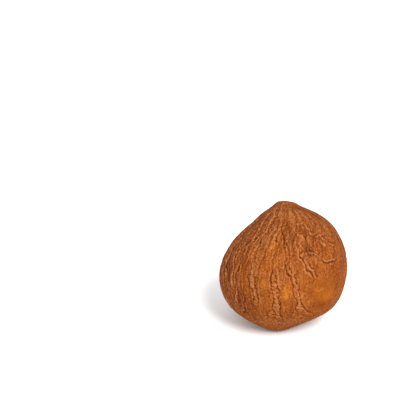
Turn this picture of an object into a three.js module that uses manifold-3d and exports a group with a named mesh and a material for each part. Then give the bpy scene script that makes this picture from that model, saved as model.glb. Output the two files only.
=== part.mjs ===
// A shelled hazelnut kernel with its skin on, in millimetres, +Z up.
// It is one solid, as it grew: a rounded top shape with a small nub at the tip, a blunt conical base,
// long shallow valleys from tip to base, and the small flat spot of the base that it rests on.
// The kernel leans back on that spot, so its tip points up and towards +Y, and -Y is its front.
// The origin is on the resting plane, under the middle of the kernel's bounding box.
import * as THREE from "three";
import { mergeVertices } from "three/addons/utils/BufferGeometryUtils.js";
import Module from "manifold-3d";

const LENGTH = 15.0; // from the base's blunt point to the tip, along the kernel's own axis
const WIDTH = 14.5; // side to side at the belly
const DEPTH = 13.7; // front to back at the belly
const LEAN = THREE.MathUtils.degToRad(25); // of the kernel's axis from upright
const FLAT_CUT = 0.17; // how far the resting spot is worn into the round base

const COLUMNS = 90; // facets round the axis
const ROWS = 48; // facets from base to tip

// Half the kernel's outline from base to tip: [share of half the width, share of the length].
const OUTLINE = [
  [0.0, 0.0],
  [0.1, 0.01],
  [0.22, 0.032],
  [0.37, 0.063],
  [0.52, 0.096],
  [0.66, 0.131],
  [0.79, 0.176],
  [0.885, 0.235],
  [0.95, 0.305],
  [0.987, 0.38],
  [0.998, 0.455],
  [0.982, 0.53],
  [0.942, 0.605],
  [0.873, 0.675],
  [0.779, 0.743],
  [0.67, 0.802],
  [0.55, 0.855],
  [0.43, 0.9],
  [0.325, 0.93],
  [0.25, 0.95],
  [0.19, 0.965],
  [0.156, 0.979],
  [0.118, 0.991],
  [0.066, 0.998],
  [0.0, 1.0],
];

// How far the middle of each cross-section sits to the right, at equal steps from base to tip.
const SWAY = [-0.7, -0.45, -0.15, -0.1, -0.08, 0, 0.12, 0.28, 0.45, 0.7, 0.95, 0.7, 0.16];

// Valleys that run from tip to base: [longitude, half-width, depth], in degrees and mm.
// Longitude 0 faces the front, and 90 faces right.
const VALLEYS = [
  [-84, 5, 0.16],
  [-67, 4, 0.2],
  [-50, 5, 0.14],
  [-33, 5, 0.13],
  [-10, 5, 0.12],
  [9, 5, 0.13],
  [27, 7, 0.1],
  [68, 8, 0.12],
  [92, 5, 0.16],
  [113, 6, 0.2],
  [131, 5, 0.12],
  [152, 7, 0.2],
  [176, 5, 0.14],
  [199, 6, 0.2],
  [221, 5, 0.13],
  [241, 6, 0.18],
  [259, 4, 0.12],
];

// Broad swellings: [longitude, height share, reach in mm, rise in mm].
const SWELLINGS = [
  [48, 0.72, 3.6, 0.22],
  [-20, 0.3, 3.4, 0.16],
  [140, 0.45, 4.2, 0.28],
  [-130, 0.62, 4.0, 0.24],
  [205, 0.25, 3.2, 0.18],
];

// The shortest turn from one longitude to another, in degrees.
function turnBetween(from, to) {
  return THREE.MathUtils.euclideanModulo(to - from + 180, 360) - 180;
}

// The kernel's skin before any valley: a turned outline, standing on its base along +Z.
function turnedKernel() {
  const outline = new THREE.SplineCurve(
    OUTLINE.map(([r, h]) => new THREE.Vector2((r * WIDTH) / 2, h * LENGTH)),
  ).getPoints(ROWS);
  outline[0].x = 0;
  outline[ROWS].x = 0;
  const lathe = new THREE.LatheGeometry(outline, COLUMNS);
  lathe.deleteAttribute("normal");
  lathe.deleteAttribute("uv");
  return mergeVertices(lathe.rotateX(Math.PI / 2), 1e-4);
}

// How deep the valleys cut at a longitude and height share; they fade out at the base and at the tip.
function valleyDepth(longitude, share) {
  const fade =
    THREE.MathUtils.smoothstep(share, 0.06, 0.4) * (1 - THREE.MathUtils.smoothstep(share, 0.8, 0.97));
  return VALLEYS.reduce((sum, [at, halfWidth, depth]) => {
    const away = turnBetween(at, longitude) / halfWidth;
    return sum + depth * fade * Math.exp(-away * away);
  }, 0);
}

// How far the broad swellings raise the skin at a point of longitude, height share and radius.
function swellingRise(longitude, share, radius) {
  return SWELLINGS.reduce((sum, [at, height, reach, rise]) => {
    const across = THREE.MathUtils.degToRad(turnBetween(at, longitude)) * radius;
    const along = (share - height) * LENGTH;
    return sum + rise * Math.exp(-(across * across + along * along) / (reach * reach));
  }, 0);
}

// Gives the turned form its valleys and swellings, its oval section and its sway.
function shapeSkin(geometry) {
  const sway = new THREE.CatmullRomCurve3(
    SWAY.map((x, i) => new THREE.Vector3(x, 0, (LENGTH * i) / (SWAY.length - 1))),
  );
  const place = geometry.getAttribute("position");
  for (let i = 0; i < place.count; i++) {
    const [x, y, z] = [place.getX(i), place.getY(i), place.getZ(i)];
    const radius = Math.hypot(x, y);
    const share = THREE.MathUtils.clamp(z / LENGTH, 0, 1);
    const longitude = THREE.MathUtils.radToDeg(Math.atan2(x, -y));
    const change = swellingRise(longitude, share, radius) - valleyDepth(longitude, share);
    const grown = radius > 0 ? Math.max(0.2, 1 + change / Math.max(radius, 1)) : 1;
    place.setXYZ(
      i,
      x * grown + sway.getPoint(share).x,
      y * grown * (DEPTH / WIDTH),
      z,
    );
  }
  return geometry;
}

const wasm = await Module();
wasm.setup();

// A closed mesh with merged vertices, as a solid that can be cut.
function solidOf(geometry) {
  return new wasm.Manifold(
    new wasm.Mesh({
      numProp: 3,
      vertProperties: geometry.getAttribute("position").array,
      triVerts: new Uint32Array(geometry.getIndex().array),
    }),
  );
}

// A cut solid, back as a geometry.
function geometryOf(solid) {
  const mesh = solid.getMesh();
  return new THREE.BufferGeometry()
    .setAttribute("position", new THREE.BufferAttribute(mesh.vertProperties, 3))
    .setIndex(new THREE.BufferAttribute(mesh.triVerts, 1));
}

// Lays the kernel back on its base, and cuts the flat spot where it touches the resting plane.
function restedKernel(geometry) {
  geometry.rotateX(-LEAN);
  geometry.computeBoundingBox();
  const floorHeight = geometry.boundingBox.min.z + FLAT_CUT;
  const below = new THREE.BoxGeometry(2 * WIDTH, 2 * LENGTH, LENGTH);
  below.deleteAttribute("normal");
  below.deleteAttribute("uv");
  const cutter = mergeVertices(below, 1e-4).translate(0, 0, floorHeight - LENGTH / 2);
  return geometryOf(solidOf(geometry).subtract(solidOf(cutter)));
}

// Moves a geometry so that the origin is under the middle of its box, on its lowest face.
function standOnOrigin(geometry) {
  geometry.computeBoundingBox();
  const middle = geometry.boundingBox.getCenter(new THREE.Vector3());
  geometry.translate(-middle.x, -middle.y, -geometry.boundingBox.min.z);
  geometry.computeVertexNormals();
  return geometry;
}

function hazelnutKernel() {
  const skin = new THREE.MeshStandardMaterial({
    color: new THREE.Color(0.6, 0.32, 0.13),
    roughness: 0.55,
    metalness: 0,
  });
  const kernel = new THREE.Mesh(
    standOnOrigin(restedKernel(shapeSkin(turnedKernel()))),
    skin,
  );
  kernel.name = "hazelnut_kernel";
  return kernel;
}

const hazelnut = new THREE.Group();
hazelnut.add(hazelnutKernel());

export default hazelnut;
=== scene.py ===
"""A shelled hazelnut kernel on a pale floor.

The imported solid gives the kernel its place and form. Here it gets its thin brown skin: veins that run
from the tip to the base, fine ribs and creases between them, and a dry, matt finish.
"""

import math
import random

import bmesh
import bpy
import numpy as np
from mathutils import Matrix, Vector, noise
from mathutils.bvhtree import BVHTree


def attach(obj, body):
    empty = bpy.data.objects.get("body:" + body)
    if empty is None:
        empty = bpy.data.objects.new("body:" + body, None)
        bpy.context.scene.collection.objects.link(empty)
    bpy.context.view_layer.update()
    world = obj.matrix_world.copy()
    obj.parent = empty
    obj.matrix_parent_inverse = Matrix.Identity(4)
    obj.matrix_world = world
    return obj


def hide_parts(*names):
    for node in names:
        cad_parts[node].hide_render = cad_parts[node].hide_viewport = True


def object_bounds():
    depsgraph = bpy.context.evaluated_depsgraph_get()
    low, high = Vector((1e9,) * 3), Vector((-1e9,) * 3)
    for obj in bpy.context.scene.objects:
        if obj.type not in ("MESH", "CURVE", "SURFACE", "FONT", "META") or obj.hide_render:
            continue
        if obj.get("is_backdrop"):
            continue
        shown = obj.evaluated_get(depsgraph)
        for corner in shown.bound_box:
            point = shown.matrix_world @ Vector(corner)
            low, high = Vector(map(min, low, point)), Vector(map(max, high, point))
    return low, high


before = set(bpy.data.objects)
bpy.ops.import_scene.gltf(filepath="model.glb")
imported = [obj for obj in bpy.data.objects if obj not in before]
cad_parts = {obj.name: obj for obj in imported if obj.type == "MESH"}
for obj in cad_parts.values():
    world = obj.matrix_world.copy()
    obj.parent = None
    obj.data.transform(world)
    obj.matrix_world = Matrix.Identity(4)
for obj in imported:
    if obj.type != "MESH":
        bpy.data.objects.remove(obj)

bl_info = {
    "name": "Hazelnut Kernel",
    "version": (1, 0, 0),
    "blender": (4, 5, 0),
    "location": "View3D > Sidebar > Hazelnut",
    "description": "Gives a hazelnut kernel its wrinkled brown skin and lays it on a pale floor",
    "category": "Add Mesh",
}

CAD_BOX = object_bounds()
KERNEL_NODE = "hazelnut_kernel"
MM = 0.001

# The kernel's own axis runs from the blunt base to the tip, and leans back from upright.
LENGTH = 15.0  # mm from base to tip
LEAN = math.radians(25)
AXIS = np.array([0, math.sin(LEAN), math.cos(LEAN)])
FRONT = np.array([0, -math.cos(LEAN), math.sin(LEAN)])
OVAL = 14.5 / 13.7  # width over depth at the belly

# The skin's net is cast onto the solid from its heart, a point on the axis.
HEART = 6.5  # mm above the base
NET_CUTS = 127  # along each edge of the cube that the net starts as
NET_SMOOTHING = 14  # rounds, which take the solid's facets away
RELIEF_SMOOTHING = 16  # rounds, for the mean height that ribs and hollows are told from
RELIEF_UNIT = 0.022  # mm above the mean that counts as a full rib

KNOT = 0.5  # mm from one crosswise crease of a plaited band to the next
BAND_EDGE = 0.07  # mm, half-width of the grooves along a band
LINE_SWAY = 0.3  # mm, room for how far a line may sway off its course
PEAK = 0.13  # mm, above which heights count for less, so that crossing lines don't add up to a spike
PEAK_SHARE = 0.3  # how much of the height above that is kept

# Lamps: where they stand from the kernel's middle, and how wide they are, in metres.
KEY_PLACE = (0.42, -0.7, 0.85)
KEY_SIZE = 0.6
LOW_PLACE = (-0.2, -0.9, 0.3)
LOW_SIZE = 0.4
FLOOR_RADIUS = 3.0
FLOOR_GAP = 0.02 * MM  # keeps the floor's face and the flat spot's face apart

# The front's lines run over places of longitude in degrees and height in mm on the kernel's axis.
# Longitude 0 faces the front, and 90 faces right.

# Bands are raised strips between two furrows, crumpled crosswise like a plait.
# Each is its cut, its plait, and its line from tip to base: [longitude, height, half-width in mm].
BANDS = [
    (0.5, 0.3, [
        (-5, 10.8, 0.08), (-3, 10.2, 0.15), (-1.5, 9.7, 0.18), (-0.8, 9.1, 0.19), (0, 8.6, 0.2),
        (0.4, 8.0, 0.23), (0.9, 7.7, 0.3),
    ]),
    (1.0, 0.9, [
        (0.2, 8.4, 0.2), (0.4, 8.0, 0.23), (1.3, 7.6, 0.32), (4, 7.1, 0.27), (5.8, 6.6, 0.28),
        (8.5, 6.0, 0.31), (10.3, 5.6, 0.34), (10.8, 5.0, 0.33), (11.4, 4.6, 0.36), (13.5, 4.1, 0.3),
        (15, 3.4, 0.37), (17, 3.0, 0.45), (21, 2.6, 0.6),
    ]),
    (1.0, 1.0, [
        (-12.4, 7.6, 0.15), (-11, 7.1, 0.3), (-11, 6.5, 0.34), (-11.3, 6.0, 0.31), (-9.8, 5.5, 0.35),
        (-7.8, 5.1, 0.48), (-7.2, 4.8, 0.5), (-7.3, 4.3, 0.4), (-7.5, 3.8, 0.42), (-7.8, 3.3, 0.43),
        (-7.8, 2.7, 0.33), (-6.7, 2.0, 0.36), (-3.5, 1.4, 0.45),
    ]),
    (0.6, 0.35, [
        (-29, 9.8, 0.75), (-28.5, 9.3, 0.75), (-28, 8.6, 0.6), (-28.5, 8.2, 0.68), (-29, 7.8, 0.68),
        (-30.3, 7.1, 0.62), (-31.2, 6.5, 0.6), (-30.6, 6.2, 0.5),
    ]),
    (0.9, 0.75, [
        (-31, 6.7, 0.55), (-30.3, 6.1, 0.46), (-29.7, 5.6, 0.38), (-28.8, 5.1, 0.32),
        (-28.3, 4.6, 0.36), (-27.8, 4.0, 0.36), (-28.5, 3.4, 0.3),
    ]),
]

# Furrows are single creases: their cut, their half-width in mm, and their line: [longitude, height].
# A raised lip stands on one side of a furrow, or on the other where the cut is below 0.
FURROWS = [
    # the middle vein's top, its foot and its fainter neighbours
    (0.75, 0.065, [
        (-22, 13.7), (-18.5, 13.2), (-16, 12.5), (-13, 12), (-10, 11.5), (-6, 10.8), (-4, 10.2),
    ]),
    (0.8, 0.1, [(18, 3.4), (21.5, 3.1), (26.5, 2.7), (33.5, 2.4), (42, 2.1), (49.5, 1.9)]),
    (0.25, 0.09, [(-7, 13.2), (-1, 12), (3, 10.8), (4.5, 9.6), (5.5, 8.6)]),
    (0.5, 0.08, [(-2.5, 12.9), (0.5, 12.1), (6.5, 11.4), (9, 10.9)]),
    # the left vein's top
    (0.7, 0.09, [
        (-17, 11.9), (-14.5, 10.8), (-13.5, 10.3), (-13.8, 9.7), (-13, 9.2), (-13.7, 8.7),
        (-13.3, 8.2), (-13.6, 7.5), (-13.9, 6.9), (-13.9, 6.4),
    ]),
    (0.3, 0.09, [(-24, 13.3), (-21, 12.4), (-23, 11.4), (-21, 10.4), (-22, 9.8)]),
    # the crooked vein on the right shoulder, with its curl
    (0.35, 0.09, [(7, 10.5), (8.5, 10), (10.5, 9.7), (11.5, 9.3)]),
    (1.0, 0.095, [
        (11.2, 9.6), (11.5, 9.1), (13.5, 8.7), (15.5, 8.3), (16.5, 8.1), (18.5, 7.7), (21, 7.4),
        (24, 7), (26, 6.7), (28, 6.4),
    ]),
    (0.8, 0.09, [(18, 8.4), (20.5, 7.9), (23, 7.6), (27, 7.1), (28.5, 6.8), (31, 6.5)]),
    (-0.9, 0.06, [(13, 9.45), (14, 9.65), (15.4, 9.6), (16, 9.3), (15.4, 9)]),
    # the long wavy ridge to the right, its drop, and the hook above it
    (0.5, 0.09, [
        (2, 12.3), (6, 11.9), (10, 11.6), (14.5, 11.4), (17, 11), (18.5, 10.7), (18, 10.3), (19, 9.9),
    ]),
    (-0.85, 0.085, [
        (17.6, 10.4), (19, 9.9), (20.5, 9.4), (23.5, 9.1), (27, 9.1), (31, 8.8), (33.5, 8.5),
        (36, 8.2), (39.5, 8.2), (43, 8.3), (49, 8.3), (53.5, 8.6), (57, 8.5),
    ]),
    (0.7, 0.09, [(43, 8.4), (45, 8), (45.5, 7.6), (45.3, 7.3)]),
    (-0.8, 0.08, [(21.5, 10.4), (21.8, 9.9), (23.5, 9.6), (25.5, 9.5), (27.5, 9.7)]),
    # the curl near the right shoulder, and short ridges above it
    (0.9, 0.08, [
        (30.8, 10.8), (30.3, 11.15), (32.5, 11.35), (35.5, 11.4), (38, 11.2), (40.5, 10.9), (42, 10.6),
        (45.5, 10.4), (51.5, 10.3), (56, 10.5),
    ]),
    (-0.5, 0.09, [(32, 10.7), (33.5, 10.5), (36, 10.1), (37.5, 9.9)]),
    (-0.4, 0.08, [(10, 12.4), (15, 12.1), (19, 12.2), (23, 11.8)]),
    (-0.4, 0.08, [(20, 12), (22, 11.6), (25, 11.4), (26, 11)]),
    (0.75, 0.08, [(22, 13.9), (27, 13.6), (31, 13.3), (30.5, 12.9), (32, 12.6), (38, 12.3)]),
    # the left limb's long ridges
    (1.1, 0.08, [
        (-54, 14.2), (-48.5, 13.5), (-47.5, 12.8), (-46.5, 12.3), (-43.5, 11.9), (-43, 11.2),
        (-42.5, 10.7), (-43.5, 10.2), (-44, 9.5),
    ]),
    (0.85, 0.08, [
        (-39, 14.1), (-36, 13.5), (-33.5, 13), (-33, 12.4), (-32, 11.9), (-34.5, 11.2), (-32.5, 10.4),
        (-32.5, 9.9),
    ]),
    (-0.6, 0.08, [(-45, 13.6), (-42, 12.8), (-40, 12.1), (-38.5, 11.4), (-38, 10.6), (-39.5, 9.8)]),
    (0.9, 0.1, [
        (-57, 11), (-56, 10), (-55.5, 9.6), (-56.5, 9), (-56.5, 8.4), (-54, 7.7), (-54.5, 7.2),
        (-54.5, 6.5), (-54, 5.9), (-55, 5),
    ]),
    (-0.9, 0.1, [
        (-51, 10.9), (-49, 10.1), (-48.5, 9.6), (-49, 8.9), (-48, 8.3), (-46.5, 7.8), (-48, 7.3),
        (-50.5, 6.8), (-50.5, 6),
    ]),
    (-0.9, 0.1, [
        (-61, 10.6), (-62, 9.5), (-64, 8.8), (-64.5, 8.1), (-60.5, 7.6), (-59.5, 6.8), (-59.5, 6),
        (-61.5, 5.1), (-61, 4.2),
    ]),
    (0.9, 0.1, [(-66, 12), (-69, 10), (-70, 8), (-66.5, 6.8), (-67, 5), (-69, 3.6)]),
    (-0.8, 0.1, [(-72, 12.5), (-77, 10), (-77, 7.5), (-74, 5.5), (-76, 3.8)]),
    # near the base
    (1.0, 0.09, [(-40.5, 4.6), (-41.5, 4), (-44.5, 3.3), (-50, 2.5), (-60, 1.9)]),
    (0.6, 0.09, [(-48, 5.4), (-48.5, 4.8), (-50, 4.2), (-52, 3.4)]),
    (0.9, 0.1, [(-52, 1.9), (-44, 1.6), (-35, 1.4), (-22, 1.55)]),
    (1.0, 0.1, [(-3, 1.9), (1, 1.5), (8, 1.2), (14, 1.2), (28, 1)]),
    (0.7, 0.09, [(18, 2.3), (29, 2), (42, 1.8)]),
    (0.4, 0.09, [(-17, 3.6), (-16, 2.6), (-19, 1.7)]),
]

# Ridges are thin raised threads, beaded and worn light: their strength, their half-width in mm,
# and their line.
RIDGES = [
    # the crown's right side
    (1.2, 0.08, [(-2, 13.2), (-1.5, 12.9), (2.5, 12.7), (9.5, 12.7), (15, 12.8), (21, 12.9)]),
    (1.4, 0.08, [(19, 12.9), (20, 12.6), (21, 12.3), (23, 11.9), (24.5, 11.6), (30, 11.3)]),
    (1.3, 0.08, [
        (28.5, 10.9), (30, 11.1), (32.5, 11.3), (36, 11.3), (38, 11), (40, 10.8), (42.5, 10.5),
        (46, 10.4),
    ]),
    (1.3, 0.08, [(33.5, 13), (39.5, 13), (41, 12.8), (42, 12.6), (46, 12.4), (48, 12.2), (47.5, 12)]),
    (1.1, 0.08, [(9, 10.6), (12, 10.2), (15, 9.8), (17.5, 9.5)]),
    (1.1, 0.08, [(36, 10.4), (38, 10.2), (40, 10)]),
    (0.7, 0.08, [(-2, 11.3), (0.5, 10.8), (1.5, 10.3), (1.5, 9.8), (1.5, 9.3)]),
    # the long wavy ridge and the loop above it
    (1.2, 0.08, [
        (21.5, 10.2), (20.5, 9.9), (20.5, 9.6), (22, 9.3), (24, 9.2), (27.5, 9.1), (30, 8.9),
        (33, 8.6), (35.5, 8.4), (38.5, 8.4), (41.5, 8.5), (46, 8.5), (49, 8.4), (53, 8.7),
    ]),
    (0.9, 0.07, [(23, 9.4), (26, 9.5), (28.5, 9.4), (29.5, 9.2)]),
    # the crooked vein's curl and its right side
    (1.2, 0.07, [(13, 8.7), (12.5, 9), (13.5, 9.3), (15.5, 9.4), (16.5, 9.2), (15, 9)]),
    (1.0, 0.09, [(14.5, 8.8), (16, 8.4), (18.5, 8), (22, 7.6), (25, 7.3), (28, 6.9)]),
    # the crown's left side and the left limb
    (1.8, 0.12, [
        (-52.5, 13.7), (-51, 13.2), (-51.5, 12.8), (-50, 12.6), (-47.5, 12.1), (-44, 11.8),
        (-43.5, 11.4), (-44.5, 11.1), (-44.5, 10.7), (-44.5, 10.4),
    ]),
    (1.3, 0.1, [(-43, 14.6), (-42, 14), (-38, 13.5), (-37, 12.9), (-35.5, 12.4), (-33.5, 11.9)]),
    (1.3, 0.1, [(-36, 13.7), (-35, 13.2), (-34, 12.7), (-31, 12.1), (-26, 11.5)]),
    (0.7, 0.08, [(-29.5, 12.7), (-23.5, 12.2), (-21.5, 11.7)]),
    (0.7, 0.08, [(-30, 10.8), (-30.5, 10.4), (-31, 10), (-32, 9.7), (-31.5, 9.2)]),
    (0.9, 0.08, [(-45.5, 10.3), (-44.5, 9.7), (-43.5, 9.1), (-44.5, 8.4), (-45.5, 7.7), (-46.5, 7.1)]),
    (1.2, 0.09, [
        (-55, 10.5), (-54.5, 10), (-54, 9.6), (-54.5, 8.9), (-55.5, 8.2), (-55, 7.5), (-56, 6.8),
        (-56.5, 5.9), (-58, 5.2),
    ]),
    (1.0, 0.09, [(-75, 9), (-74.5, 8.5), (-71, 7.8), (-69.5, 6.8), (-69, 6.4)]),
    (0.8, 0.09, [(-49.5, 5.3), (-50, 4.8), (-53, 4.1), (-58, 3.4)]),
    (0.7, 0.08, [(-33.5, 9.4), (-32, 8.8), (-32, 8.1), (-32.5, 7.4)]),
]

# Soft-edged places where the skin's colour differs: [longitude, height, half-width, half-height, strength].
TINTS = {
    # The flesh shows golden through thin skin.
    "thin_skin": [
        (1.3, 5, 0.5, 1.05, 0.8),
        (-18.5, 5.9, 0.45, 0.42, 0.6),
        (47.5, 4.4, 1.3, 0.7, 0.36),
        (35, 5.2, 0.7, 0.4, 0.35),
        (-17.5, 10.6, 0.55, 1.1, 0.9),
        (-11, 8.3, 0.3, 0.6, 0.4),
        (24, 3.8, 0.5, 0.5, 0.3),
        (112, 6.4, 0.9, 1.5, 0.7),
        (168, 8.6, 0.7, 1.9, 0.8),
        (205, 5.1, 0.8, 1.1, 0.6),
        (252, 7.2, 0.6, 1.6, 0.6),
        (140, 3.9, 1.1, 0.6, 0.4),
    ],
    # Dull olive-brown bloom; on the crown's upper right this is painted shade.
    "dusty_and_shaded": [
        (36, 12.4, 1.0, 1.1, 0.9),
        (42, 11.6, 2.6, 2.2, 0.6),
        (-22, 6.9, 0.4, 0.9, 0.6),
        (5.5, 5.9, 0.4, 0.5, 0.6),
        (62, 12.2, 1.4, 1.2, 0.7),
        (-20.5, 4.7, 0.6, 0.7, 1.0),
        (15, 6.9, 0.5, 1.2, 0.5),
        (-19, 5.4, 1.7, 0.9, 0.7),
        (16, 8.4, 1.4, 1.3, 0.4),
        (38, 7.5, 1.6, 2.6, 0.3),
        (-28, 9.7, 0.5, 0.5, 0.4),
        (150, 12, 1.6, 1.3, 0.8),
        (230, 11, 1.6, 2, 0.6),
    ],
    # Ruddier, darker skin; on the crown's upper right and its top rim this is painted shade.
    "ruddy_and_shaded": [
        (36.5, 3.4, 1.3, 0.6, 0.7),
        (60, 8, 1.2, 3, 0.5),
        (66, 11.8, 2.4, 2.6, 0.7),
        (-46, 3.6, 1.6, 1.6, 0.8),
        (-28, 2.6, 1.6, 0.9, 0.2),
        (7, 11.4, 0.7, 1.2, 0.5),
        (24, 11.2, 2.3, 2.2, 0.8),
        (58, 13.8, 2.2, 1.8, 1.0),
        (-86, 7, 2.4, 4.5, 1.0),
        (18, 9.6, 1.2, 1.0, 0.8),
        (8, 9.3, 1.0, 1.5, 0.65),
        (130, 7, 1.5, 3, 0.5),
        (190, 10, 1.5, 2, 0.5),
    ],
    # Pale worn skin.
    "pale": [
        (-3, 6.4, 0.5, 0.7, 0.8),
        (-8, 13.9, 1.8, 1.6, 0.9),
        (0, 1.2, 3.5, 1.0, 0.55),
        (-27, 7.6, 0.5, 1.2, 0.4),
        (-27, 11.4, 1.1, 1.6, 0.8),
        (-5, 8.3, 0.45, 1.3, 0.5),
        (-19, 10.9, 0.4, 0.9, 0.5),
        (-50, 5.6, 0.6, 0.9, 0.5),
        (23, 8.3, 0.6, 0.6, 0.2),
        (6, 1.9, 1.5, 0.6, 0.5),
        (95, 10, 0.8, 1.5, 0.5),
        (220, 7, 0.8, 1.5, 0.5),
    ],
}


def length_setting(name, description, default):
    """A setting for a depth or height on the skin, in metres."""
    return bpy.props.FloatProperty(
        name=name, description=description, default=default, min=0, precision=5, unit="LENGTH"
    )


def colour_setting(name, description, default):
    """A setting for a colour."""
    return bpy.props.FloatVectorProperty(
        name=name, description=description, default=default, subtype="COLOR", size=3, min=0, max=1
    )


class KernelSettings(bpy.types.PropertyGroup):
    """The skin's depths and colours."""

    vein_depth: length_setting("Vein depth", "How deep the veins' furrows cut into the skin", 0.15 * MM)
    band_rise: length_setting("Band rise", "Height of the plaited bands between their furrows", 0.13 * MM)
    rib_height: length_setting("Rib height", "Height of the fine ribs that run from tip to base", 0.07 * MM)
    crumple: length_setting("Crumple", "Height of the small dents all over", 0.03 * MM)
    grain_depth: length_setting("Grain depth", "Depth of the leathery grain in the finish", 0.03 * MM)
    seed: bpy.props.IntProperty(
        name="Seed",
        description="Picks another arrangement of veins on the sides and back",
        default=11,
        min=0,
    )
    skin_colour: colour_setting("Skin", "Main colour of the skin", (0.23, 0.0575, 0.004))
    # The dark skin colour also serves as painted shade, in the hollows, on the left limb and on the crown's
    # upper right.
    red_colour: colour_setting("Dark skin", "Redder, darker streaks and flanks", (0.12, 0.019, 0.0006))
    # The crease colour is painted shade at the bottoms of the furrows and in the hair-fine creases.
    crease_shade_colour: colour_setting("Creases", "Bottom of the furrows", (0.06, 0.0085, 0.0002))
    # The crest colour is partly worn skin and partly painted light on the tops of the relief.
    crest_colour: colour_setting("Crests", "Worn tops of the ribs and bands", (0.375, 0.136, 0.045))
    thin_colour: colour_setting("Thin skin", "Where the flesh shows golden", (0.4, 0.132, 0.008))
    # The dusty colour is also painted shade on the crown's upper right.
    dust_and_shade_colour: colour_setting("Dusty skin", "Dull olive-brown bloom in patches", (0.155, 0.047, 0.009))
    roughness: bpy.props.FloatProperty(
        name="Roughness",
        description="How matt the skin is, between its duller hollows and its smoother ribs",
        default=0.58,
        min=0,
        max=1,
        subtype="FACTOR",
    )


class StageSettings(bpy.types.PropertyGroup):
    """The floor, the lights and the camera."""

    floor_colour: colour_setting("Floor", "Colour of the floor", (0.9, 0.9, 0.9))
    room_light: bpy.props.FloatProperty(
        name="Room light", description="Strength of the light from all round", default=0.95, min=0
    )
    key_light: bpy.props.FloatProperty(
        name="Key light",
        description="Power of the large lamp above the camera, on its right",
        default=17,
        min=0,
        unit="POWER",
    )
    low_light: bpy.props.FloatProperty(
        name="Low light", description="Power of the low lamp in front", default=2, min=0, unit="POWER"
    )
    camera_height: bpy.props.FloatProperty(
        name="Camera height",
        description="Angle of the camera's aim below the horizon",
        default=math.radians(27),
        subtype="ANGLE",
    )
    camera_distance: bpy.props.FloatProperty(
        name="Camera distance",
        description="From the camera to the kernel's middle, along the aim",
        default=0.205,
        subtype="DISTANCE",
    )
    camera_left: bpy.props.FloatProperty(
        name="Camera left",
        description="How far the camera stands to the left of the kernel's middle",
        default=0.00961,
        precision=5,
        subtype="DISTANCE",
    )
    camera_lift: bpy.props.FloatProperty(
        name="Camera lift",
        description="How far the camera is raised, square to its aim",
        default=0.0077,
        precision=5,
        subtype="DISTANCE",
    )
    lens: bpy.props.FloatProperty(
        name="Lens", description="Focal length of the camera", default=159.7, unit="CAMERA"
    )


# ---------------------------------------------------------------- the skin's own map


def noise_at(points, grain, octaves=1):
    """Smooth chance values from about -1 to 1 at the points, with one swell every 1/grain or so."""
    pick = noise.noise if octaves == 1 else lambda point: noise.fractal(point, 1.0, 2.0, octaves)
    return np.array([pick(point) for point in (points * grain).tolist()])


def crinkle(points, grain):
    """Rounded swells, near 1, with sharp valleys of 0 between them."""
    return np.clip(2.4 * np.abs(noise_at(points, grain)), 0, 1) ** 0.7


def step_between(low, high, values):
    """0 below low, 1 above high, and a soft step between."""
    t = np.clip((values - low) / (high - low), 0, 1)
    return t * t * (3 - 2 * t)


def bell(away):
    """1 at 0, about a third at 1, and almost 0 from 2 on."""
    return np.exp(-(away**2))


def turn(degrees):
    """An angle in degrees as the same one between -180 and 180."""
    return (degrees + 180) % 360 - 180


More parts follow.
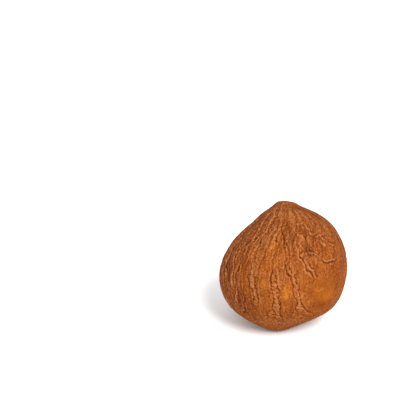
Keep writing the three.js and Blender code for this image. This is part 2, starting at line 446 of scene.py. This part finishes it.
class SkinMap:
    """Where each point of the skin lies on the kernel: longitude in degrees, height, radius and run in mm.

    The run is how far the point is from the base, measured over the skin.
    """

    def __init__(self, points, tip):
        away = (points - tip) / MM
        side = away[:, 0]
        ahead = (away @ FRONT) * OVAL
        self.height = LENGTH + away @ AXIS
        # The kernel's middle line sways, so its place and half-width are measured in slices.
        rungs = np.linspace(0.4, LENGTH - 0.4, 24)
        slices = [side[np.abs(self.height - rung) < 0.3] for rung in rungs]
        middle = [(across.max() + across.min()) / 2 for across in slices]
        half = np.array([0, *((across.max() - across.min()) / 2 for across in slices), 0])
        side = side - np.interp(self.height, rungs, middle)
        self.radius = np.hypot(side, ahead)
        self.longitude = np.degrees(np.arctan2(side, ahead))
        self.rungs = np.array([0, *rungs, LENGTH])
        self.runs = np.concatenate([[0], np.cumsum(np.hypot(np.diff(half), np.diff(self.rungs)))])
        slope = np.arctan2(half, self.rungs - HEART)
        self.run = np.interp(np.arctan2(self.radius, self.height - HEART), slope[::-1], self.runs[::-1])
        # How far lines sway off their courses, in mm.
        spots = points / MM
        self.sway_across = 0.26 * noise_at(spots, 0.9) + 0.17 * noise_at(spots + 31, 2.3)
        self.sway_across += 0.07 * noise_at(spots + 12, 4.8)
        self.sway_along = 0.2 * noise_at(spots + 67, 1.1) + 0.15 * noise_at(spots + 91, 2.6)

    def run_at(self, height):
        """The run of the skin at a height."""
        return np.interp(height, self.rungs, self.runs)

    def grain(self, stretch):
        """Points for chance patterns that are drawn out from tip to base and close up at both ends."""
        angle = np.radians(self.longitude)
        reach = 7 * (np.maximum(self.radius, 0.05) / 7) ** 0.08
        return np.stack([reach * np.cos(angle), reach * np.sin(angle), self.run / stretch], 1)

    def beside(self, line, reach):
        """The points within reach of a line, and what each has there.

        That is its distance to the line's left, the line's width, and the share of the line passed.
        """
        longitude, height, width = np.array([(*point, 1)[:3] for point in line], float).T
        run = self.run_at(height)
        room = np.degrees((reach + LINE_SWAY) / np.maximum(self.radius, 0.3)) + np.ptp(longitude) / 2
        near = np.nonzero(
            (np.abs(turn(self.longitude - longitude.mean())) < room)
            & (self.run > run.min() - reach - LINE_SWAY)
            & (self.run < run.max() + reach + LINE_SWAY)
        )[0]
        here = self.longitude[near]
        here_run = self.run[near] + self.sway_along[near]
        radius = self.radius[near]
        sway = self.sway_across[near]
        best = np.full(len(near), np.inf)
        left = np.zeros(len(near))
        wide = np.ones(len(near))
        share = np.zeros(len(near))
        steps = len(line) - 1
        for i in range(steps):
            ax = np.radians(turn(longitude[i] - here)) * radius + sway
            ay = run[i] - here_run
            dx = np.radians(turn(longitude[i + 1] - here)) * radius + sway - ax
            dy = run[i + 1] - here_run - ay
            t = np.clip(-(ax * dx + ay * dy) / np.maximum(dx * dx + dy * dy, 1e-9), 0, 1)
            away = np.hypot(ax + t * dx, ay + t * dy)
            side = np.where(ax * dy < ay * dx, -1, 1)
            closer = away < best
            best = np.where(closer, away, best)
            left = np.where(closer, away * side, left)
            wide = np.where(closer, width[i] + t * (width[i + 1] - width[i]), wide)
            share = np.where(closer, (i + t) / steps, share)
        keep = best < reach
        return near[keep], left[keep], wide[keep], share[keep]


def smooth_line(line, pieces=4):
    """A line with more points, curving through the given ones."""
    given = [np.array(point, float) for point in line]
    given = [given[0] * 2 - given[1], *given, given[-1] * 2 - given[-2]]
    curve = []
    for a, b, c, d in zip(given, given[1:], given[2:], given[3:]):
        for t in np.arange(pieces) / pieces:
            bend = (2 * a - 5 * b + 4 * c - d) * t**2 + (3 * b - a - 3 * c + d) * t**3
            curve.append(0.5 * (2 * b + (c - a) * t + bend))
    return [*curve, given[-2]]


def back_veins(seed):
    """Bands and furrows for the sides and the back, in the same manner as the front's."""
    chance = random.Random(seed)
    bands, furrows = [], []
    for longitude in np.arange(80, 290, 9.5):
        longitude += chance.uniform(-3, 3)
        drift = chance.uniform(-5, 5)
        top = chance.uniform(12.5, 13.9)
        foot = chance.uniform(1.6, 5.0)
        line = [
            (longitude + drift * passed + chance.uniform(-2, 2), top + (foot - top) * passed)
            for passed in np.linspace(0, 1, 8)
        ]
        if chance.random() < 0.38:
            # A furrow that opens into a band.
            wide = chance.uniform(0.2, 0.42)
            begin = chance.choice([2, 3])
            furrows.append((0.7, 0.1, line[: begin + 1]))
            cut = chance.uniform(0.6, 1.0)
            plaited = chance.uniform(0.3, 1.0)
            widths = [wide * chance.uniform(0.6, 1.15) for _ in line[begin:]]
            widths[0] *= 0.4
            bands.append((cut, plaited, [(*point, width) for point, width in zip(line[begin:], widths)]))
        else:
            cut = chance.uniform(0.4, 1.0) * chance.choice([1, 1, -1])
            furrows.append((cut, chance.uniform(0.09, 0.13), line))
        if chance.random() < 0.5:
            # A short branch.
            fork, height = line[chance.randrange(2, 6)]
            way = chance.choice([-1, 1])
            twig = [(fork, height), (fork + way * 5, height - 0.7), (fork + way * 8, height - 1.8)]
            furrows.append((0.6, 0.1, twig))
    return bands, furrows


# ---------------------------------------------------------------- the skin's mesh


def merged_copy(obj):
    """A CAD node's mesh with its loose triangles joined, as a bmesh."""
    bm = bmesh.new()
    bm.from_mesh(obj.data)
    bmesh.ops.remove_doubles(bm, verts=bm.verts, dist=1e-7)
    return bm


def wrap_round(solid, heart):
    """An even net of small faces, cast over a solid from a point inside it and smoothed."""
    net = bmesh.new()
    bmesh.ops.create_cube(net, size=2)
    bmesh.ops.subdivide_edges(net, edges=net.edges[:], cuts=NET_CUTS, use_grid_fill=True)
    lean_back = Matrix.Rotation(-LEAN, 3, "X")
    tree = BVHTree.FromBMesh(solid)
    for vert in net.verts:
        even = Vector([math.tan(math.pi / 4 * part) for part in vert.co])
        vert.co = tree.ray_cast(heart, (lean_back @ even).normalized())[0]
    for _ in range(NET_SMOOTHING):
        bmesh.ops.smooth_vert(
            net, verts=net.verts, factor=0.5, use_axis_x=True, use_axis_y=True, use_axis_z=True
        )
    net.normal_update()
    return net


def above_mean(net, heights):
    """How far each point of a net stands above the mean of the points round it."""
    ends = np.array([[vert.index for vert in edge.verts] for edge in net.edges])
    neighbours = np.bincount(ends.ravel(), minlength=len(heights))
    mean = heights
    for _ in range(RELIEF_SMOOTHING):
        total = sum(np.bincount(ends[:, a], mean[ends[:, 1 - a]], len(heights)) for a in (0, 1))
        mean = total / neighbours
    return heights - mean


class Carving:
    """How far the skin rises at every point, in mm, and the marks that its finish reads.

    Paint is relief that only the finish shows, as painted light on its tops and painted shade in its
    hollows. Each chance pattern has its own offset, so no two are alike.
    """

    def __init__(self, skin, points, settings):
        self.skin = skin
        self.spots = points / MM
        self.depth = settings.vein_depth / MM
        self.band_rise = settings.band_rise / MM
        self.rib_height = settings.rib_height / MM
        self.crumple = settings.crumple / MM
        self.kink = noise_at(self.spots + 17, 2.2)
        self.rough = noise_at(self.spots + 5, 3.6)
        self.weave = noise_at(self.spots + 43, 1.5)
        self.uneven = np.clip(0.9 + 0.9 * noise_at(self.spots + 29, 0.8), 0.5, 1.15)
        self.fine = np.clip(skin.radius / 5.6, 0.35, 1)  # lines get finer towards both ends
        self.rise = np.zeros(len(points))
        self.paint = np.zeros(len(points))
        self.crest = np.zeros(len(points))
        self.gap = np.full(len(points), 2.0)
        self.force = np.zeros(len(points))
        self.find_regions()

    def find_regions(self):
        """How much of each region every point has: crown, base, limb, cheek, back, calm skin and nub."""
        longitude, height = self.skin.longitude, self.skin.height
        self.crown = step_between(8.0, 12.0, height)
        self.base = 1 - step_between(1.2, 3.2, height)
        # The limb is the ribbed left flank, and it widens towards the crown.
        off_limb = turn(longitude + 68 - 16 * self.crown) / (25 + 16 * self.crown)
        self.limb = bell(off_limb) * step_between(1.0, 3.5, height)
        self.cheek = bell(turn(longitude - 44) / 22) * (1 - step_between(5.5, 8, height)) * (1 - self.base)
        self.back = step_between(62, 90, np.abs(turn(longitude - 10)))
        # The crown's skin is calmer right of the middle, and in a narrow strip left of it.
        calm = bell(turn(longitude - 26) / 24) + 0.7 * bell(turn(longitude + 11) / 6)
        self.calm = self.crown * np.minimum(calm, 1)
        self.nub = 1 - step_between(0.5, 1.5, self.skin.radius + np.maximum(0, 12 - height))

    def mark_line(self, near, away, force):
        """Keeps the distance to the nearest line and how strong that line is."""
        away = away / self.fine[near]
        closer = away < self.gap[near]
        self.gap[near[closer]] = away[closer]
        self.force[near[closer]] = (force * self.uneven[near])[closer]

    def mark_crest(self, near, crest):
        """Keeps how worn and light the skin is where it stands up."""
        self.crest[near] = np.maximum(self.crest[near], crest)

    def groove(self, near, away, wide):
        """The depth of a groove at a distance from its line, 1 at most on an even stretch."""
        fine = self.fine[near]
        depth = fine * np.exp(-((away / (wide * fine)) ** 1.4))
        return depth * np.clip(0.85 + 0.6 * self.kink[near], 0.1, 1.3)

    def band(self, cut, plaited, line):
        """A raised strip between two furrows, crumpled crosswise."""
        near, left, wide, share = self.skin.beside(smooth_line(line), 1.3)
        fade = cut * step_between(0, 0.08, share) * (1 - step_between(0.9, 1, share))
        beat = self.skin.run[near] / KNOT + 1.1 * self.kink[near] + 0.45 * left / wide
        swell = np.abs(np.sin(math.pi * beat)) ** 0.6
        wide = wide * (0.85 + 0.3 * plaited * (swell - 0.6))
        off_edge = np.abs(np.abs(left) - wide)
        inside = step_between(1.15, 0.7, np.abs(left) / wide)
        knots = 1 - plaited * (1 - swell)
        lumps = 1.2 * knots - 0.2 + 0.9 * self.rough[near]
        outer_lip = bell((np.abs(left) - wide - 0.17) / 0.08)
        edges = 0.2 * outer_lip - self.groove(near, off_edge, BAND_EDGE)
        self.rise[near] += fade * (self.band_rise * inside * lumps + self.depth * edges)
        self.mark_crest(near, fade * (0.8 * inside * (knots - 0.3) + 0.5 * outer_lip))
        self.mark_line(near, off_edge, fade)
        across = inside > 0.3
        between_knots = np.abs(beat - np.round(beat)) * KNOT
        woven = 0.5 * plaited * fade * np.clip(0.5 + 1.3 * self.weave[near], 0, 1)
        self.mark_line(near[across], between_knots[across], woven[across])

    def furrow(self, cut, wide, line):
        """A single crease with a raised lip on one side."""
        near, left, _, share = self.skin.beside(smooth_line(line), 1.0)
        fade = abs(cut) * step_between(0, 0.1, share) * (1 - step_between(0.85, 1, share))
        lip = bell((left * np.sign(cut) + 1.8 * wide) / (0.7 * wide))
        lip *= np.clip(0.8 + 0.9 * self.rough[near], 0.15, 1.3)
        # The lips fade low on the kernel, and their light colour with them, as painted shade where light
        # from above doesn't reach them.
        lip *= 0.3 + 0.7 * step_between(1.5, 4, self.skin.height[near])
        self.rise[near] += fade * self.depth * (0.5 * lip - self.groove(near, np.abs(left), wide))
        self.mark_crest(near, 1.7 * fade * lip)
        self.mark_line(near, np.abs(left), fade)

    def ridge(self, strength, wide, line):
        """A thin raised thread, beaded and worn light."""
        near, left, _, share = self.skin.beside(smooth_line(line), 0.6)
        fade = strength * step_between(0, 0.12, share) * (1 - step_between(0.85, 1, share))
        thread = bell(left / wide) * np.clip(0.8 + 1.1 * self.rough[near], 0.15, 1.3)
        foot = bell((np.abs(left) - 2.1 * wide) / wide)
        self.rise[near] += fade * self.depth * (0.7 * thread - 0.3 * foot)
        self.mark_crest(near, 1.7 * fade * thread)

    def raise_ribs(self):
        """Sharp ribs from tip to base with hollows between them, wider apart on the crown and the limb."""
        grain = self.skin.grain
        ribs = 1 - 2.3 * np.abs(noise_at(grain(8.0), 1.7) + 0.3 * noise_at(grain(4.0) + 9, 3.8))
        crown_ribs = 1 - 2.4 * np.abs(
            noise_at(grain(12.0) + 70, 0.95) + 0.2 * noise_at(grain(5.0) + 9, 2.9)
        )
        limb_ribs = 1 - 2.5 * np.abs(noise_at(grain(26.0) + 4, 1.5) + 0.12 * noise_at(grain(8.0) + 19, 3.8))
        ribs += 0.75 * self.crown * (crown_ribs - ribs)
        ribbed = 0.35 + 0.75 * self.crown + 0.35 * self.back - 0.5 * self.cheek - 0.6 * self.calm
        ribs *= np.clip(ribbed, 0, 1.3) * (1 - self.limb)
        limb_ribs *= self.limb
        self.rise += self.rib_height * (0.6 * ribs + 0.7 * limb_ribs)
        # Ribs that only the finish shows, as painted light and shade, strongest on the limb.
        self.paint += self.rib_height * ((0.3 + 0.6 * self.crown) * ribs + 2.0 * limb_ribs)

    def raise_folds(self):
        """Soft folds with sharp valleys between them, leathery crinkles, and crosswise ones at the base."""
        grain = self.skin.grain
        folds = crinkle(grain(7.0) + 40, 0.8)
        wrinkles = crinkle(grain(3.6) + 60, 2.1)
        cross = self.base * crinkle(grain(0.6) + 80, 1.5)
        leather = crinkle(self.spots + 55, 2.7) + 0.6 * noise_at(self.spots + 8, 4.8)
        off_cheek = 1 - 0.75 * self.cheek
        folded = np.clip(0.25 + self.crown + self.back - 0.8 * self.calm, 0, 1) * off_cheek
        crumpled = 1.2 * wrinkles * off_cheek + (1 - 0.4 * self.cheek) * leather
        self.rise += self.rib_height * (0.8 * folds * folded + 1.5 * cross)
        # The base's crosswise crinkles are painted in too, as light and shade.
        self.paint += self.rib_height * 1.2 * cross
        self.rise += self.crumple * crumpled * (1 - 0.5 * self.crown)
        self.rise += 0.05 * noise_at(self.spots + 77, 0.6)

    def finish_ends(self):
        """Dents the neck, roughens the nub, and flattens the relief where its lines close up or pile up."""
        skin = self.skin
        neck = bell((skin.radius - 1.6) / 0.5) * bell(turn(skin.longitude - 52) / 36)
        self.rise -= 0.29 * neck * step_between(11, 13, skin.height)
        self.rise += 0.09 * self.nub * noise_at(self.spots + 13, 2.6, 3)
        self.rise *= 0.35 + 0.65 * step_between(0.25, 1.2, skin.radius)
        self.rise = np.minimum(self.rise, PEAK + PEAK_SHARE * (self.rise - PEAK))

    def tint(self, places):
        """1 where a tint is full, 0 where there is none, from a list of soft-edged places."""
        skin = self.skin
        tint = np.zeros(len(self.rise))
        for longitude, height, half_width, half_height, strength in places:
            across = np.radians(turn(skin.longitude - longitude)) * skin.radius + skin.sway_across
            along = skin.run - skin.run_at(height) + skin.sway_along
            away = np.hypot(across / half_width, along / half_height)
            tint = np.maximum(tint, strength * (1 - step_between(0.3, 1.6, away + 0.3 * self.rough)))
        return tint

    def marks(self, net):
        """The values that the finish reads at every point."""
        return {
            # The relief is painted onto the finish: light on its tops and shade in its hollows.
            "relief": above_mean(net, self.rise + self.paint) / RELIEF_UNIT,
            "crest": np.clip(self.crest, 0, 1),
            "vein_gap": self.gap,
            "vein_force": self.force,
            "nub": self.nub,
            "limb": self.limb,
            "crown": self.crown,
            "cheek": self.cheek,
            **{name: self.tint(places) for name, places in TINTS.items()},
        }


def carve(skin, points, settings):
    """Carves the veins, then the finer relief between them."""
    carving = Carving(skin, points, settings)
    bands, furrows = back_veins(settings.seed)
    for vein in BANDS + bands:
        carving.band(*vein)
    for vein in FURROWS + furrows:
        carving.furrow(*vein)
    for thread in RIDGES:
        carving.ridge(*thread)
    carving.raise_ribs()
    carving.raise_folds()
    carving.finish_ends()
    return carving


def grow_skin(settings):
    """The kernel's skin as a mesh, with the marks that its finish reads."""
    solid = merged_copy(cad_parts[KERNEL_NODE])
    axis = Vector(AXIS)
    tip = max((vert.co for vert in solid.verts), key=axis.dot).copy()
    net = wrap_round(solid, tip - axis * (LENGTH - HEART) * MM)
    solid.free()
    points = np.array([vert.co for vert in net.verts])
    normals = np.array([vert.normal for vert in net.verts])
    skin = SkinMap(points, np.array(tip))
    carving = carve(skin, points, settings)
    marks = carving.marks(net)
    # The relief fades out at the flat spot, so that the kernel rests on it.
    off_floor = step_between(0.02, 0.5, points[:, 2] / MM)
    points = points + normals * (carving.rise * off_floor * MM)[:, None]
    points[:, 2] = np.maximum(points[:, 2], 0)
    for vert, place in zip(net.verts, points):
        vert.co = place
    mesh = bpy.data.meshes.new("kernel")
    net.to_mesh(mesh)
    net.free()
    mesh.shade_smooth()
    for name, values in marks.items():
        mesh.attributes.new(name, "FLOAT", "POINT").data.foreach_set("value", values.astype(np.float32))
    grain = skin.grain(2.6).astype(np.float32)
    mesh.attributes.new("grain", "FLOAT_VECTOR", "POINT").data.foreach_set("vector", grain.ravel())
    return mesh


# ---------------------------------------------------------------- materials


class Value:
    """A socket that takes part in sums: 1 - furrow adds the Math node for it."""

    def __init__(self, socket):
        self.socket = socket

    def node(self, kind, settings, inputs, output=0):
        """A node in the same tree as this value."""
        return node(self.socket.id_data, kind, settings, inputs, output)

    def _sum(self, operation, *terms):
        return self.node("ShaderNodeMath", {"operation": operation}, dict(enumerate(terms)))

    def __add__(self, other):
        return self._sum("ADD", self, other)

    def __radd__(self, other):
        return self._sum("ADD", other, self)

    def __sub__(self, other):
        return self._sum("SUBTRACT", self, other)

    def __rsub__(self, other):
        return self._sum("SUBTRACT", other, self)

    def __mul__(self, other):
        return self._sum("MULTIPLY", self, other)

    def __rmul__(self, other):
        return self._sum("MULTIPLY", other, self)

    def size(self):
        """The value without its sign."""
        return self._sum("ABSOLUTE", self)

    def clamped(self):
        """The value held between 0 and 1."""
        return self.node("ShaderNodeClamp", {}, {"Value": self})

    def between(self, low, high, to_low=0.0, to_high=1.0):
        """A soft step from to_low, where the value is below low, to to_high, where it is above high."""
        ends = {"From Min": low, "From Max": high, "To Min": to_low, "To Max": to_high}
        step = {"interpolation_type": "SMOOTHSTEP"}
        return self.node("ShaderNodeMapRange", step, {"Value": self, **ends})


def node(tree, kind, settings, inputs, output=0):
    """Adds a node, sets it up, and then gives its sockets their values or links."""
    made = tree.nodes.new(kind)
    for name, value in settings.items():
        setattr(made, name, value)
    for name, value in inputs.items():
        if isinstance(value, Value):
            tree.links.new(value.socket, made.inputs[name])
        else:
            made.inputs[name].default_value = value
    return Value(made.outputs[output])


def cloud(place, scale, detail, roughness=0.55):
    """Soft chance patches, from 0 to 1."""
    look = {"Vector": place, "Scale": scale, "Detail": detail, "Roughness": roughness}
    return place.node("ShaderNodeTexNoise", {}, look)


def mix(share, first, second):
    """Two colours mixed by a share of the second."""
    first, second = (colour if isinstance(colour, Value) else (*colour, 1) for colour in (first, second))
    return share.node("ShaderNodeMix", {"data_type": "RGBA"}, {0: share, 6: first, 7: second}, output=2)


def skin_finish(settings):
    """The dry brown skin: mottled, with painted shade in its creases and hollows, light on its ribs from
    wear and painted light, golden where it is thin.
    """
    material = bpy.data.materials.new("hazelnut skin")
    material.use_nodes = True
    tree = material.node_tree
    surface = tree.nodes["Principled BSDF"]

    def mark(name, output="Fac"):
        return node(tree, "ShaderNodeAttribute", {"attribute_name": name}, {}, output)

    # Clouds on the grain are drawn out from tip to base; those on the place have so many swells in a metre.
    place = node(tree, "ShaderNodeTexCoord", {}, {}, output="Object")
    grain = mark("grain", "Vector")
    drawn_out = grain.node("ShaderNodeVectorMath", {"operation": "MULTIPLY"}, {0: grain, 1: (1, 1, 0.3)})
    streaks = cloud(grain, 0.9, 4)
    fibres = cloud(drawn_out, 4.6, 2, 0.6)
    patches = cloud(place, 330, 3)
    tone = cloud(place, 1500, 2)
    leather = cloud(place, 4200, 3, 0.6)
    grit = cloud(place, 9500, 1)

    limb, crown, cheek, thin = mark("limb"), mark("crown"), mark("cheek"), mark("thin_skin")
    coarse = 1 - cheek * 0.5 + limb * 0.2 + crown * 0.3
    relief = mark("relief")
    # Hollows below the mean are painted shade, and tops above it painted light.
    hollow = relief.between(-0.15, -1.2)
    top = relief.between(0.2, 1.3)

    # The veins' sharp bottoms and hair-fine creases, painted dark as shade, and bright threads that wander
    # between them.
    vein = mark("vein_gap").between(0.005, 0.075, 1.0, 0.0) * mark("vein_force").between(0.0, 0.9)
    vein = vein * leather.between(0.3, 0.55, 0.55, 1.0)
    wander = cloud(drawn_out, 1.5, 3, 0.45) - 0.5
    lined = (patches + crown * 0.1 + limb * 0.1).between(0.38, 0.58) * (1 - cheek)
    hair = wander.size().between(0.006, 0.045, 1.0, 0.0) * lined
    thread = wander.between(0.03, 0.06) * wander.between(0.08, 0.12, 1.0, 0.0) * lined
    crease = (vein + hair * 0.5).clamped()

    redden_and_shade = streaks.between(0.42, 0.68) * 0.4 + patches.between(0.5, 0.75) * 0.3
    # The left limb is darker, partly its own ruddier skin and partly painted shade.
    redden_and_shade = redden_and_shade + limb * 0.85 + mark("ruddy_and_shaded")
    # Dusty places and the nub get a duller colour; on the crown's upper right this is painted shade.
    dull = (mark("dusty_and_shaded") + mark("nub") * 0.3) * patches.between(0.3, 0.7, 0.5, 1.0)
    golden = thin * leather.between(0.3, 0.62, 0.7, 1.0)
    # Light skin: partly worn crests, threads and pale places, partly painted light on the relief's tops.
    worn = top * 0.35 + mark("crest") * 0.65 + thread * 0.55 + mark("pale") * 0.45
    coats = (
        (redden_and_shade.clamped(), settings.red_colour),
        (dull.clamped(), settings.dust_and_shade_colour),
        (fibres.between(0.5, 0.72) * 0.35, settings.red_colour),
        (golden.clamped(), settings.thin_colour),
        (worn.clamped() * leather.between(0.3, 0.5, 0.5, 1.0), settings.crest_colour),
        # painted shade in the hollows
        (hollow * 0.6, settings.red_colour),
        (tone.between(0.34, 0.5, 0.5, 0.0), settings.dust_and_shade_colour),
        (tone.between(0.5, 0.68, 0.0, 0.4), settings.red_colour),
        (leather.between(0.37, 0.5, 0.4, 0.0) * coarse, settings.red_colour),
        (leather.between(0.52, 0.66, 0.0, 0.3) * coarse, settings.crest_colour),
        (grit.between(0.36, 0.5, 0.45, 0.0) * coarse, settings.red_colour),
        (grit.between(0.5, 0.64, 0.0, 0.35) * coarse, settings.crest_colour),
        # painted shade in the veins' bottoms and the hair-fine creases
        (crease * 0.92, settings.crease_shade_colour),
    )
    colour = settings.skin_colour
    for share, coat in coats:
        colour = mix(share, colour, coat)

    matt = leather.between(0.3, 0.7, settings.roughness - 0.06, settings.roughness + 0.08)
    height = leather + fibres * 0.5 + grit * 0.3 - crease * 0.8
    bump = height.node(
        "ShaderNodeBump", {}, {"Strength": 1.0, "Distance": settings.grain_depth, "Height": height}
    )
    roughness = matt + hollow * 0.2 - top * 0.1
    for name, value in {"Base Color": colour, "Roughness": roughness, "Normal": bump}.items():
        tree.links.new(value.socket, surface.inputs[name])
    surface.inputs["Specular IOR Level"].default_value = 0.015
    return material


def floor_finish(settings):
    """Matt pale floor."""
    material = bpy.data.materials.new("pale floor")
    material.use_nodes = True
    surface = material.node_tree.nodes["Principled BSDF"]
    surface.inputs["Base Color"].default_value = (*settings.floor_colour, 1)
    surface.inputs["Roughness"].default_value = 0.8
    surface.inputs["Specular IOR Level"].default_value = 0.2
    return material


# ---------------------------------------------------------------- the stage


def lay_floor(scene, settings):
    """A wide round floor just under the kernel."""
    net = bmesh.new()
    bmesh.ops.create_circle(net, cap_ends=True, segments=96, radius=FLOOR_RADIUS)
    bmesh.ops.translate(net, verts=net.verts, vec=(0, 0, -FLOOR_GAP))
    mesh = bpy.data.meshes.new("floor")
    net.to_mesh(mesh)
    net.free()
    mesh.materials.append(floor_finish(settings))
    floor = bpy.data.objects.new("floor", mesh)
    scene.collection.objects.link(floor)
    floor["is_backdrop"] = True


def hang_lamp(scene, middle, name, power, size, place):
    """A round soft lamp that shines at the kernel's middle."""
    data = bpy.data.lights.new(name, "AREA")
    data.shape = "DISK"
    data.energy = power
    data.size = size
    lamp = bpy.data.objects.new(name, data)
    lamp.location = middle + Vector(place)
    lamp.rotation_euler = (middle - lamp.location).to_track_quat("-Z", "Y").to_euler()
    scene.collection.objects.link(lamp)


def light_room(scene, settings):
    """Even white light from all round, shown without a film look."""
    world = bpy.data.worlds.new("pale room")
    world.use_nodes = True
    sky = world.node_tree.nodes["Background"]
    sky.inputs["Color"].default_value = (1, 1, 1, 1)
    sky.inputs["Strength"].default_value = settings.room_light
    scene.world = world
    scene.view_settings.view_transform = "Standard"


def set_camera(scene, settings, middle):
    """A long-lensed camera that looks down at the kernel from the front."""
    aim = Vector((0, math.cos(settings.camera_height), -math.sin(settings.camera_height)))
    right = Vector((1, 0, 0))
    up = right.cross(aim)
    data = bpy.data.cameras.new("camera")
    data.lens = settings.lens
    data.sensor_width = 36
    data.clip_start = 0.01
    data.clip_end = 20
    camera = bpy.data.objects.new("camera", data)
    camera.location = middle - aim * settings.camera_distance - right * settings.camera_left
    camera.location += up * settings.camera_lift
    camera.rotation_euler = aim.to_track_quat("-Z", "Y").to_euler()
    scene.collection.objects.link(camera)
    scene.camera = camera


# ---------------------------------------------------------------- operators


class HAZELNUT_OT_kernel(bpy.types.Operator):
    """Makes the kernel with its wrinkled brown skin, in place of the plain solid"""

    bl_idname = "hazelnut.kernel"
    bl_label = "Kernel"
    bl_options = {"REGISTER", "UNDO"}

    def execute(self, context):
        settings = context.scene.hazelnut_kernel
        kernel = bpy.data.objects.new("kernel", grow_skin(settings))
        context.collection.objects.link(kernel)
        kernel.data.materials.append(skin_finish(settings))
        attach(kernel, "root")
        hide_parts(KERNEL_NODE)
        return {"FINISHED"}


class HAZELNUT_OT_stage(bpy.types.Operator):
    """Makes the pale floor, the soft light and the camera"""

    bl_idname = "hazelnut.stage"
    bl_label = "Stage"
    bl_options = {"REGISTER", "UNDO"}

    def execute(self, context):
        scene = context.scene
        settings = scene.hazelnut_stage
        low, high = (Vector(corner) for corner in CAD_BOX)
        middle = (low + high) / 2
        lay_floor(scene, settings)
        hang_lamp(scene, middle, "key lamp", settings.key_light, KEY_SIZE, KEY_PLACE)
        hang_lamp(scene, middle, "low lamp", settings.low_light, LOW_SIZE, LOW_PLACE)
        light_room(scene, settings)
        set_camera(scene, settings, middle)
        return {"FINISHED"}


class HAZELNUT_PT_sidebar(bpy.types.Panel):
    """Lists the kernel's and the stage's steps and settings"""

    bl_idname = "HAZELNUT_PT_sidebar"
    bl_label = "Hazelnut"
    bl_space_type = "VIEW_3D"
    bl_region_type = "UI"
    bl_category = "Hazelnut"

    def draw(self, context):
        for step, group in ((HAZELNUT_OT_kernel, "hazelnut_kernel"), (HAZELNUT_OT_stage, "hazelnut_stage")):
            settings = getattr(context.scene, group)
            box = self.layout.box()
            box.operator(step.bl_idname)
            for name in settings.__annotations__:
                box.prop(settings, name)


CLASSES = (KernelSettings, StageSettings, HAZELNUT_OT_kernel, HAZELNUT_OT_stage, HAZELNUT_PT_sidebar)


def register():
    for cls in CLASSES:
        bpy.utils.register_class(cls)
    bpy.types.Scene.hazelnut_kernel = bpy.props.PointerProperty(type=KernelSettings)
    bpy.types.Scene.hazelnut_stage = bpy.props.PointerProperty(type=StageSettings)


def unregister():
    del bpy.types.Scene.hazelnut_stage
    del bpy.types.Scene.hazelnut_kernel
    for cls in reversed(CLASSES):
        bpy.utils.unregister_class(cls)


def main():
    register()
    bpy.ops.hazelnut.kernel()
    bpy.ops.hazelnut.stage()
    boxes = {"cad": CAD_BOX, "visual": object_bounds()}
    {name: [list(corner) for corner in box] for name, box in boxes.items()}


if __name__ == "__main__":
    main()
